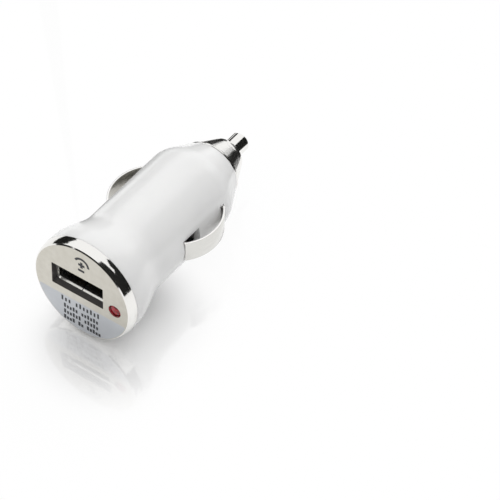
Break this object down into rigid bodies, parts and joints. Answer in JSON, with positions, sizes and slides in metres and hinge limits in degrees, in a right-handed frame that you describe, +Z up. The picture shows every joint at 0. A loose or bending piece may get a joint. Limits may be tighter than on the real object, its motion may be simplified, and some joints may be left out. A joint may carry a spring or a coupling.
{
  "type": "car usb charger plug",
  "caption": "Short 12 V socket plug: flared white body, plated face with a USB opening and a lamp, sprung side clips, ridged nose ring and sprung centre pin.",
  "frame": {"origin": "on the plug's axis, in the plane of the USB face", "axes": "+Y along the plug from the face to the nose, +X to the right as one faces the USB opening, +Z up, as the plug lies on a table with its opening level"},
  "size_m": [0.026, 0.0575, 0.0252],
  "materials": {
    "body_white": "polished white moulding",
    "cap_plated": "chrome-plated moulding",
    "label_silver": "satin silver sticker",
    "tinned_steel": "tinned",
    "black_moulding": "moulded",
    "contact_brass": "gold flash",
    "red_lens": "tinted clear resin",
    "tinned_wire": "tinned",
    "board_laminate": "solder mask",
    "chip_ceramic": "glazed ceramic",
    "tan_ceramic": "fired ceramic",
    "ferrite": "sintered",
    "enamelled_wire": "enamelled copper",
    "can_sleeve": "shrink sleeve",
    "seat_brass": "stamped",
    "spring_steel": "nickel plated",
    "pin_nickel": "nickel plated",
    "ring_chrome": "chrome plated",
    "clip_nickel": "nickel plated spring strip"
  },
  "bodies": {
    "housing": {"body_shell": "body_white", "end_cap": "cap_plated", "rating_label": "label_silver", "usb_shell": "tinned_steel", "usb_tongue": "black_moulding", "usb_contacts": "contact_brass", "led_lens": "red_lens", "led_leads": "tinned_wire", "circuit_board": "board_laminate", "regulator_chip": "black_moulding", "chip_pins": "tinned_wire", "flyback_diode": "black_moulding", "chip_resistors": "chip_ceramic", "chip_capacitors": "tan_ceramic", "inductor_core": "ferrite", "inductor_winding": "enamelled_wire", "input_capacitor": "can_sleeve", "output_capacitor": "can_sleeve", "capacitor_leads": "tinned_wire", "spring_seat": "seat_brass", "contact_spring": "spring_steel", "nose_ring": "ring_chrome"},
    "pin": {"centre_pin": "pin_nickel"},
    "clip_right": {"side_clip_right": "clip_nickel"},
    "clip_left": {"side_clip_left": "clip_nickel"}
  },
  "joints": [
    {"name": "pin_press", "type": "slide", "parent": "housing", "child": "pin", "axis": [0, -1, 0], "range_m": [0, 0.003], "stiffness_N_per_m": 1200, "springref_m": -0.002, "deforming": ["contact_spring"]},
    {"name": "clip_right_flex", "type": "hinge", "parent": "housing", "child": "clip_right", "pos_m": [0.0092, 0.0358, 0], "axis": [0, 0, -1], "range_deg": [0, 8], "stiffness_Nm_per_rad": 0.2, "springref_deg": -5.73},
    {"name": "clip_left_flex", "type": "hinge", "parent": "housing", "child": "clip_left", "pos_m": [-0.0092, 0.0358, 0], "axis": [0, 0, 1], "range_deg": [0, 8], "stiffness_Nm_per_rad": 0.2, "springref_deg": -5.73}
  ]
}
